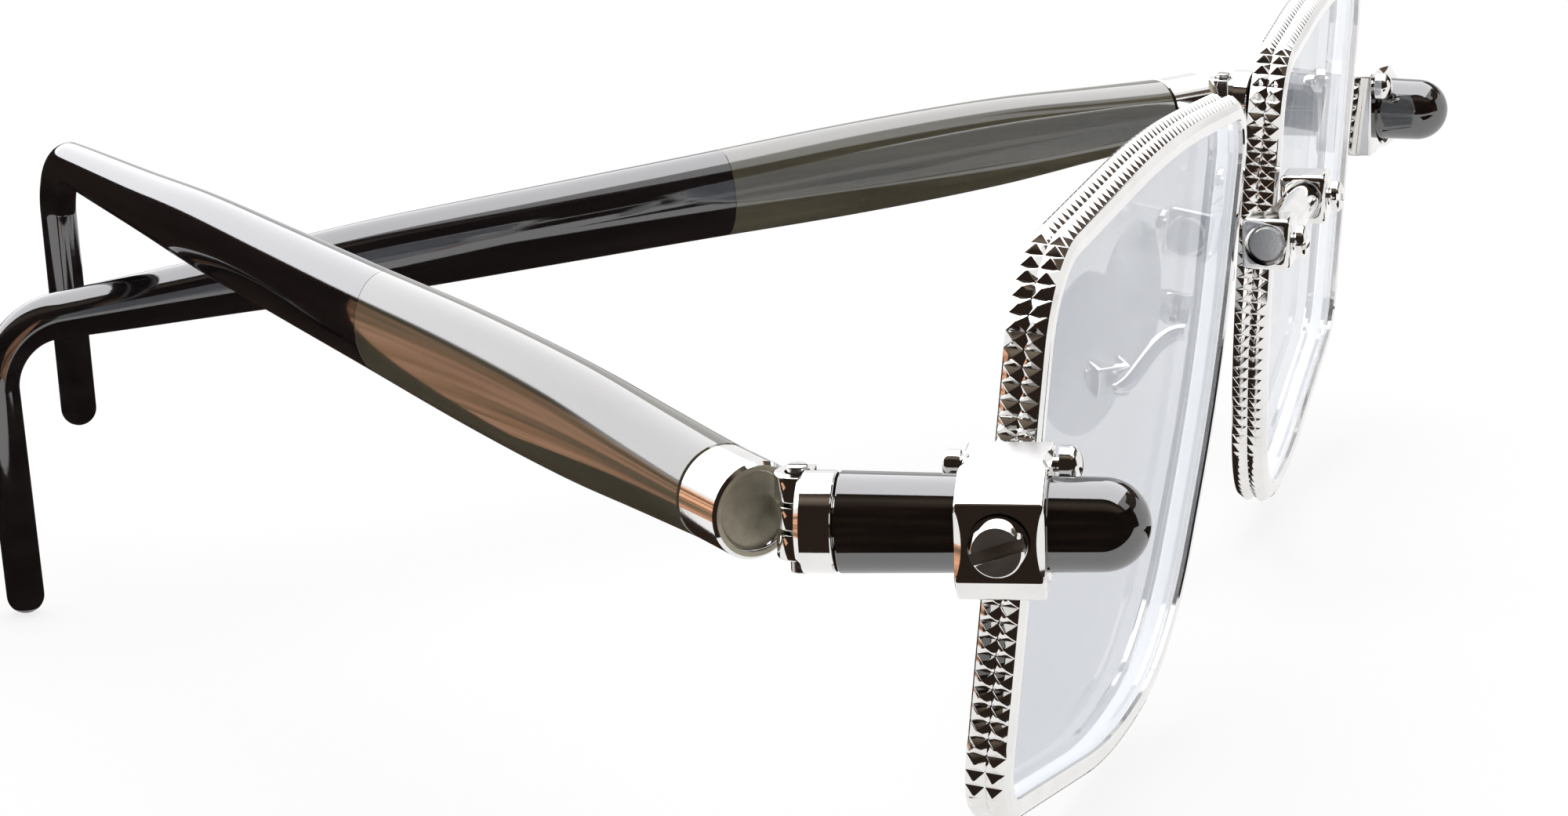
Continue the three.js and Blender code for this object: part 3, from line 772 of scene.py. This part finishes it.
def upright(radius, low, high, steps=48):
    return moved(round_bar(radius, low, high, steps), turn(90, "X"))


def at_pin(shape, side):
    return moved(shape, at(pin_inset, pin_back, 0) @ lean(side))


def knuckle(low, high, web, web_half):
    """A hinge knuckle bored for the pin, with a web that runs along Y into its ferrule."""
    away = -math.copysign(knuckle_radius, web)
    steps = 24
    outline = []
    for k in range(steps + 1):
        angle = math.pi * k / steps
        outline.append((knuckle_radius * math.cos(angle), away * math.sin(angle)))
    outline += [(-web_half, web), (web_half, web)]
    return cut(eased(raised(outline, low, high), 0.1, 3), upright(pin_hole, -5, 5))


def rod_ferrule(side):
    radius = rod_rear / 2
    start = rod_behind + bore_gap
    stem = start - 3
    rear = pin_back - seat_gap
    body = turned([
        (0, stem), (1.5, stem), (1.5, start), (radius - 0.1, start), (radius, start + 0.1),
        (radius, rear - 0.3), (radius - 0.3, rear), (0, rear),
    ], 72)
    room = at_pin(upright(1.6, -knuckle_split, knuckle_split), side)
    hole = at_pin(upright(pin_hole, -5, 5), side)
    heights = [(knuckle_split, knuckle_top), (-knuckle_top, -knuckle_split)]
    ears = [at_pin(knuckle(low, high, -0.9, knuckle_radius), side) for low, high in heights]
    return together(cut(body, room, hole), *ears)


def hinge_pin(side):
    low = -3.5
    high = 2.9
    slot_deep = 0.2
    pin = eased(upright(pin_radius, low, high, 40), 0.12, 3)
    slot = boxed((-0.1, -1, high - slot_deep), (0.1, 1, 4))
    return at_pin(cut(pin, slot), side)


def temple_ferrule():
    radius = ferrule_wide / 2
    dish = radius - 0.6
    floor = ferrule_start + 0.35
    socket = 3.45
    body = turned([
        (0, floor), (dish - 0.12, floor), (dish, ferrule_start + 0.1), (dish + 0.1, ferrule_start),
        (radius - 0.2, ferrule_start), (radius, ferrule_start + 0.2), (radius, ferrule_end - 0.1),
        (radius - 0.1, ferrule_end), (core_hole, ferrule_end), (core_hole, socket), (0, socket),
    ], 72)
    moved(body, at(-pin_inset, 0, 0))
    second_finish(body, lambda face: face.normal.y < -0.9)
    return together(body, knuckle(-tongue_half, tongue_half, floor + 0.15, tongue_half))


# Temples


def smooth_size(along, column):
    """Half a size of the temple at a place along it, smooth between the stations."""
    stations = [(station[0], station[column] / 2) for station in temple_shape]
    k = max(i for i in range(len(stations) - 1) if i == 0 or stations[i][0] <= along)
    x0, y0 = stations[k]
    x1, y1 = stations[k + 1]
    xb, yb = stations[max(k - 1, 0)]
    xa, ya = stations[min(k + 2, len(stations) - 1)]
    m0 = (y1 - yb) / (x1 - xb) * (x1 - x0)
    m1 = (ya - y0) / (xa - x0) * (x1 - x0)
    t = (along - x0) / (x1 - x0)
    return (
        (2 * t**3 - 3 * t**2 + 1) * y0 + (t**3 - 2 * t**2 + t) * m0
        + (3 * t**2 - 2 * t**3) * y1 + (t**3 - t**2) * m1
    )


def half_height(along):
    return smooth_size(along, 1)


def half_width(along):
    return smooth_size(along, 2)


def oval_ring(along, up, tilt, wide, high, sides=48):
    """An oval ring on the temple's line, leaning by a tilt about X."""
    ring = []
    for i in range(sides):
        angle = i / sides * 2 * math.pi
        aside = math.cos(angle) * wide - pin_inset
        rise = math.sin(angle) * high
        ring.append(Vector((aside, along - rise * math.sin(tilt), up + rise * math.cos(tilt))))
    return ring


def core_ring(along):
    return oval_ring(along, 0, 0, core_hole, core_hole)


def temple_ring(along, less=0):
    return oval_ring(along, 0, 0, half_width(along) - less, half_height(along) - less)


def stations_between(start, end, step=1.6):
    count = max(2, round((end - start) / step))
    return [start + (end - start) * k / count for k in range(count + 1)]


def olive_front():
    start = ferrule_end + split_gap
    rear_soft = soft_edge / 4
    outer = [temple_ring(y) for y in stations_between(start + soft_edge, olive_end - rear_soft)]
    front_end = [core_ring(start), temple_ring(start, soft_edge)]
    rear_end = [temple_ring(olive_end, rear_soft), core_ring(olive_end)]
    return drawn_out(front_end + outer + rear_end, loop=True)


def hooked_tip():
    start = olive_end + 0.02
    soft = 0.01
    rings = [core_ring(core_end), core_ring(start), temple_ring(start, soft)]
    rings += [temple_ring(y) for y in stations_between(start + soft, bend_start)]
    wide = half_width(bend_start)
    high = half_height(bend_start)
    end = hook_wide / 2
    bend_steps = 20
    for k in range(1, bend_steps + 1):
        share = k / bend_steps
        bend = share * math.pi / 2
        along = bend_start + bend_radius * math.sin(bend)
        up = -bend_radius * (1 - math.cos(bend))
        rings.append(oval_ring(along, up, -bend, wide + (end - wide) * share, high + (end - high) * share))
    hook_at = bend_start + bend_radius
    round_steps = 10
    for k in range(round_steps):
        bend = k / round_steps * math.pi / 2
        up = -hook_drop + end * (1 - math.sin(bend))
        size = end * math.cos(bend)
        rings.append(oval_ring(hook_at, up, -math.pi / 2, size, size))
    return drawn_out(rings)


# Bridge and nose pads

bridge_up = 3.8
bridge_radius = 1.3
clamp_inset = 8.0
clamp_half = (1.7, 1.7, 1.8)
clamp_face = nose_side(bridge_up, 0).y - seat_gap - math.tan(math.radians(eye_tilt)) * clamp_half[2]
bridge_y = clamp_face - clamp_half[1]


def bridge_bar():
    reach = clamp_inset + clamp_half[0] - seat_gap
    edge = 0.2
    end_radius = bridge_radius - edge
    bar = turned([
        (0, -reach), (end_radius, -reach), (bridge_radius, edge - reach),
        (bridge_radius, reach - edge), (end_radius, reach), (0, reach),
    ])
    return moved(bar, at(0, bridge_y, bridge_up) @ turn(90, "Z"))


def bridge_clamp():
    half = Vector(clamp_half)
    body = eased(boxed(-half, half), 0.42, 4)
    bore = moved(round_bar(bridge_radius + bore_gap, -3, 3), turn(90, "Z"))
    hole = round_bar(screw_hole, -3, 0, 32)
    return moved(cut(body, bore, hole), at(-clamp_inset, bridge_y, bridge_up))


def bridge_screw():
    head = 0.8
    screw = domed_screw(rise=0.5, head=head, end=1.2, slot_wide=0.45, slot_deep=0.4)
    front = bridge_y - clamp_half[1] - seat_gap - head
    return moved(screw, at(-clamp_inset, front, bridge_up) @ turn(80, "Y"))


pad_pivot = Vector((-10.5, 6.6, -5.5))
pad_place = Matrix.Translation(pad_pivot) @ turn(38, "Z") @ turn(-12, "Y")
pad_size = (2.4, 6.6, 13, 1)
pad_out = 3.2
pad_hole = 0.55
pad_box_back = 1.35
pad_box_wall = 0.6
arm_radius = 0.6


def nose_pad():
    """An oval pad, flatter behind and broader below, with a lug for its screw."""
    shape = bmesh.new()
    bmesh.ops.create_uvsphere(shape, u_segments=40, v_segments=24, radius=0.5)
    for vert in shape.verts:
        if vert.co.x < 0:
            vert.co.x *= 0.8
        vert.co.y *= 1 - 0.25 * vert.co.z
    moved(shape, at(pad_out, 0, 0) @ Matrix.Diagonal(pad_size))
    lug = eased(boxed((-1.05, -0.6, -1.05), (pad_out, 0.6, 1.05)), 0.2, 3)
    return cut(joined(shape, lug), round_bar(pad_hole, -2, 2, 32))


def pad_box():
    low = (-pad_box_back - pad_box_wall, -1.3, -1.2)
    body = eased(boxed(low, (1.8 - pad_box_back, 1.3, 1.2)), 0.25, 4)
    room = boxed((-pad_box_back, -0.9, -3), (4, 0.9, 3))
    return cut(body, room, round_bar(pad_hole, -3, 3, 32))


def pad_screw():
    return eased(round_bar(0.4, -1.5, 1.5, 32), 0.1, 2)


def pad_arm():
    """A wire from the rim's rear to the back of the pad box, bent in a smooth curve."""
    foot = nose_side(pad_pivot.z + 2.4, rim_deep + seat_gap)
    back = pad_place @ Vector((-pad_box_back - pad_box_wall - seat_gap, 0, 0))
    out = (pad_place.to_3x3() @ Vector((-1, 0, 0))).normalized()
    foot_pull = 2.6
    back_pull = 2.2
    first = foot + Vector((0, foot_pull, 0))
    last = back + out * back_pull
    rings = []
    sides = 16
    steps = 24
    for k in range(steps + 1):
        t = k / steps
        u = 1 - t
        point = foot * u**3 + first * (3 * u * u * t) + last * (3 * u * t * t) + back * t**3
        along = (first - foot) * (u * u) + (last - first) * (2 * u * t) + (back - last) * (t * t)
        side = along.cross(Vector((0, 0, 1))).normalized()
        up = side.cross(along).normalized()
        ring = []
        for i in range(sides):
            angle = i / sides * 2 * math.pi
            ring.append(point + (side * math.cos(angle) + up * math.sin(angle)) * arm_radius)
        rings.append(ring)
    return drawn_out(rings)


# Every piece in its place

for side, mirror in mirrors.items():
    eye = mirror @ eye_place
    corner = mirror @ corner_place
    temple = mirror @ temple_place(side)
    pad = mirror @ pad_place
    finished(studded_rim(), f"{side}_rim", "front", silver, eye, 20)
    finished(clear_lens(), f"{side}_lens", "front", lens_tint, eye, also=lens_side_painted_glow)
    finished(corner_block(), f"{side}_end_block", "front", silver, corner, also=satin)
    finished(block_screw(), f"{side}_block_screw", "front", silver, corner, also=turned_top)
    finished(lock_screw(), f"{side}_lock_screw", "front", silver, corner)
    finished(lock_nut(), f"{side}_lock_nut", "front", silver, corner)
    finished(lacquered_rod(), f"{side}_rod", "front", lacquers[side], corner)
    finished(rod_ferrule(side), f"{side}_rod_ferrule", "front", silver, corner)
    finished(hinge_pin(side), f"{side}_hinge_pin", "front", steel, corner)
    carried = f"{side}_temple"
    finished(temple_ferrule(), f"{side}_temple_ferrule", carried, silver, temple, also=brass)
    finished(olive_front(), f"{side}_temple_front", carried, olives[side], temple)
    finished(hooked_tip(), f"{side}_temple_tip", carried, blacks[side], temple)
    finished(bridge_clamp(), f"{side}_bridge_clamp", "front", silver, mirror)
    finished(bridge_screw(), f"{side}_bridge_screw", "front", silver, mirror)
    finished(pad_arm(), f"{side}_pad_arm", "front", silver, mirror)
    finished(pad_box(), f"{side}_pad_box", "front", silver, pad)
    finished(pad_screw(), f"{side}_pad_screw", "front", steel, pad)
    finished(nose_pad(), f"{side}_nose_pad", f"{side}_pad", pad_rubber, pad)
    for node, finish in [("rim_lug", silver), ("temple_core", steel)]:
        carried_over = frame["nodes"][f"{side}_{node}"]
        carried_over.data.materials.clear()
        carried_over.data.materials.append(finish)
finished(bridge_bar(), "bridge_bar", "front", silver, Matrix.Identity(4))

# Studio: floor, soft box, white, dark, brown and copper cards, and a white world


def stage_object(shape, name, material):
    mesh = mesh_of(shape, name)
    mesh.materials.append(material)
    made = shown(mesh, name)
    return made


def seen_directly(tree):
    """One where a ray comes straight from the camera, a mirror or a lens."""
    path = tree.nodes.new("ShaderNodeLightPath")
    total = path.outputs["Is Camera Ray"]
    for name in ("Is Glossy Ray", "Is Transmission Ray"):
        add = tree.nodes.new("ShaderNodeMath")
        add.operation = "MAXIMUM"
        tree.links.new(total, add.inputs[0])
        tree.links.new(path.outputs[name], add.inputs[1])
        total = add.outputs["Value"]
    return total


def pale_floor():
    material = bpy.data.materials.new("pale_floor")
    material.use_nodes = True
    tree = material.node_tree
    tree.nodes.clear()
    paint = tree.nodes.new("ShaderNodeBsdfDiffuse")
    paint.inputs["Color"].default_value = (0.9, 0.9, 0.9, 1)
    glow = tree.nodes.new("ShaderNodeEmission")
    glow.inputs["Color"].default_value = (1, 1, 1, 1)
    glow.inputs["Strength"].default_value = 1
    share = tree.nodes.new("ShaderNodeMath")
    share.operation = "MULTIPLY"
    share.inputs[1].default_value = 0.8
    tree.links.new(seen_directly(tree), share.inputs[0])
    mix = tree.nodes.new("ShaderNodeMixShader")
    tree.links.new(share.outputs["Value"], mix.inputs["Fac"])
    tree.links.new(paint.outputs["BSDF"], mix.inputs[1])
    tree.links.new(glow.outputs["Emission"], mix.inputs[2])
    output = tree.nodes.new("ShaderNodeOutputMaterial")
    tree.links.new(mix.outputs["Shader"], output.inputs["Surface"])
    return material


def card_paint(name, colour, strength=1):
    """A card's colour as it shows in polished metal, whatever light falls on it."""
    material = bpy.data.materials.new(name)
    material.use_nodes = True
    tree = material.node_tree
    tree.nodes.clear()
    glow = tree.nodes.new("ShaderNodeEmission")
    glow.inputs["Color"].default_value = (*colour, 1)
    glow.inputs["Strength"].default_value = strength
    output = tree.nodes.new("ShaderNodeOutputMaterial")
    tree.links.new(glow.outputs["Emission"], output.inputs["Surface"])
    return material


def ramp_paint(name, stops):
    """A card's paint from a colour ramp, with its nodes and the ramp's own input."""
    material = card_paint(name, (0, 0, 0))
    tree = material.node_tree
    ramp = tree.nodes.new("ShaderNodeValToRGB")
    set_stops(ramp, stops)
    tree.links.new(ramp.outputs["Color"], tree.nodes["Emission"].inputs["Color"])
    return material, tree, ramp.inputs["Fac"]


def shaded_paint(name, top, *stops):
    """A card's colours from the floor up to a top height, as they show in polished metal."""
    material, tree, shade = ramp_paint(name, stops)
    place = tree.nodes.new("ShaderNodeTexCoord")
    split = tree.nodes.new("ShaderNodeSeparateXYZ")
    share = tree.nodes.new("ShaderNodeMapRange")
    share.inputs["From Max"].default_value = top
    tree.links.new(place.outputs["Object"], split.inputs["Vector"])
    tree.links.new(split.outputs["Z"], share.inputs["Value"])
    tree.links.new(share.outputs["Result"], shade)
    return material


def streaked_paint(name, scale, *stops):
    """A card's colours in long streaks, as they show in polished metal."""
    material, tree, shade = ramp_paint(name, stops)
    place = tree.nodes.new("ShaderNodeTexCoord")
    stretch = tree.nodes.new("ShaderNodeMapping")
    stretch.inputs["Scale"].default_value = scale
    noise = tree.nodes.new("ShaderNodeTexNoise")
    noise.inputs["Scale"].default_value = 1
    noise.inputs["Detail"].default_value = 3
    tree.links.new(place.outputs["Object"], stretch.inputs["Vector"])
    tree.links.new(stretch.outputs["Vector"], noise.inputs["Vector"])
    tree.links.new(noise.outputs["Fac"], shade)
    return material


def only_in_reflections(card):
    card.visible_camera = False
    card.visible_diffuse = False
    card.visible_transmission = False
    card.visible_shadow = False


def flat_sheet(x0, x1, y0, y1, z):
    sheet = bmesh.new()
    bmesh.ops.create_grid(sheet, x_segments=1, y_segments=1, size=0.5)
    place = at((x0 + x1) / 2, (y0 + y1) / 2, z) @ Matrix.Diagonal((x1 - x0, y1 - y0, 1, 1))
    return moved(sheet, place)


def swung_sheet(first, last, axis, start, end):
    """A sheet that a straight line leaves behind as it swings about an axis through the middle."""
    sheet = bmesh.new()
    opening = Matrix.Rotation(math.radians(start), 3, axis)
    ends = [sheet.verts.new(opening @ Vector(point)) for point in (first, last)]
    line = sheet.edges.new(ends)
    bmesh.ops.spin(
        sheet, geom=[*ends, line], cent=(0, 0, 0), axis=axis, dvec=(0, 0, 0),
        angle=math.radians(end - start), steps=24, use_merge=False, use_duplicate=False,
    )
    return sheet


def upright_sheet(x0, x1, y, z0, z1):
    size = Matrix.Diagonal((x1 - x0, z1 - z0, 1, 1))
    place = at((x0 + x1) / 2, y, (z0 + z1) / 2) @ turn(90, "X") @ size
    return moved(flat_sheet(-0.5, 0.5, -0.5, 0.5, 0), place)


def hang(shape, name, paint):
    only_in_reflections(stage_object(shape, name, paint))


stage_object(flat_sheet(-4, 4, -4, 4, 0), "floor", pale_floor())
mat_high = 0.0005
card_far = 0.6
wall_far = 0.58
dark_tone = (0.024, 0.016, 0.012)
white_card = card_paint("white_card", (0.97, 0.97, 1.0), 3.5)
dark_card = card_paint("dark_card", dark_tone)
brown_card = card_paint("brown_card", (0.10, 0.078, 0.062))
copper_card = streaked_paint(
    "copper_card", (30, 30, 260), (0.32, (0.20, 0.14, 0.09)), (0.44, (0.72, 0.36, 0.20)),
    (0.58, (1.15, 0.60, 0.38)), (0.68, (0.40, 0.24, 0.14)),
)
arch_paint = shaded_paint(
    "arch_paint", card_far, (0.0, dark_tone), (0.72, dark_tone), (0.87, (0.20, 0.16, 0.125)),
    (0.955, dark_tone),
)
x_axis = Vector((1, 0, 0))
y_axis = Vector((0, 1, 0))
z_axis = Vector((0, 0, 1))
hang(swung_sheet((-0.16, card_far, 0), (0.9, card_far, 0), x_axis, 12, 125), "bright_arch", white_card)
hang(swung_sheet((-card_far, -0.9, 0), (-card_far, 0.9, 0), y_axis, 0, 74), "dark_arch", arch_paint)
hang(swung_sheet((wall_far, 0, 0), (wall_far, 0, 0.42), z_axis, -126, -84), "dark_wall", dark_card)
hang(swung_sheet((wall_far, 0, 0.3), (wall_far, 0, 0.62), z_axis, -84, -40), "brown_front_band", brown_card)
hang(swung_sheet((wall_far, 0, 0.2), (wall_far, 0, 0.42), z_axis, -40, -8), "brown_side_band", brown_card)
hang(flat_sheet(-0.6, -0.088, -0.9, 0.9, mat_high), "dark_apron", dark_card)
hang(flat_sheet(-0.012, 0.03, -0.15, -0.075, mat_high), "dark_front_mat", dark_card)
hang(flat_sheet(-0.005, 0.1, -0.042, -0.015, mat_high), "dark_inner_mat", dark_card)
hang(flat_sheet(-0.046, 0.12, -0.015, 0.2, mat_high), "dark_side_mat", dark_card)
hang(upright_sheet(-0.02, 0.3, 0.2, mat_high, 0.06), "dark_side_card", dark_card)
hang(upright_sheet(-0.077, -0.032, 0.02, 0.009, 0.033), "copper_card", copper_card)
hang(flat_sheet(-0.136, -0.108, 0.036, 0.09, 0.001), "copper_mat", copper_card)

soft_box = bpy.data.lights.new("soft_box", "AREA")
soft_box.shape = "RECTANGLE"
soft_box.size = 1.0
soft_box.size_y = 1.0
soft_box.energy = 8.5
soft_box.color = (1.0, 0.985, 1.0)
soft_box_object = bpy.data.objects.new("soft_box", soft_box)
soft_box_object.location = (0.3, 0.0, 0.75)
soft_box_object.visible_glossy = False
bpy.context.scene.collection.objects.link(soft_box_object)

world = bpy.data.worlds.new("white_studio")
world.use_nodes = True
bpy.context.scene.world = world
world_tree = world.node_tree
background = world_tree.nodes["Background"]
background.inputs["Color"].default_value = (1, 1, 1, 1)
level = world_tree.nodes.new("ShaderNodeMapRange")
level.inputs["To Min"].default_value = 0.35
level.inputs["To Max"].default_value = 1.0
world_tree.links.new(seen_directly(world_tree), level.inputs["Value"])
world_tree.links.new(level.outputs["Result"], background.inputs["Strength"])

# Camera at the photograph's viewing angle

photo_wide = 2000
sensor_wide = 36
focal_pixels = 4721
heading = math.radians(17.32)
downward = math.radians(14.45)
roll = math.radians(2.0)
block_depth = 206.1
block_pixel = (283, 147.5)
level_right = Vector((math.sin(heading), -math.cos(heading), 0))
level_ahead = Vector((math.cos(heading), math.sin(heading), 0))
ahead = level_ahead * math.cos(downward) - Vector((0, 0, math.sin(downward)))
level_down = -(Vector((0, 0, math.cos(downward))) + level_ahead * math.sin(downward))
image_right = level_right * math.cos(roll) + level_down * math.sin(roll)
image_down = level_down * math.cos(roll) - level_right * math.sin(roll)
right_share = block_pixel[0] / focal_pixels
down_share = block_pixel[1] / focal_pixels
reach = image_right * right_share + image_down * down_share + ahead
camera_at = (Vector((-rod_aside, 0, 0)) - reach * block_depth + shift) / 1000
camera = bpy.data.cameras.new("camera")
camera.sensor_fit = "HORIZONTAL"
camera.sensor_width = sensor_wide
camera.lens = sensor_wide * focal_pixels / photo_wide
camera.clip_start = 0.01
camera_object = bpy.data.objects.new("camera", camera)
axes = Matrix((image_right, -image_down, -ahead)).transposed().to_4x4()
camera_object.matrix_world = Matrix.Translation(camera_at) @ axes
bpy.context.scene.collection.objects.link(camera_object)
bpy.context.scene.camera = camera_object
bpy.context.scene.view_settings.view_transform = "Standard"
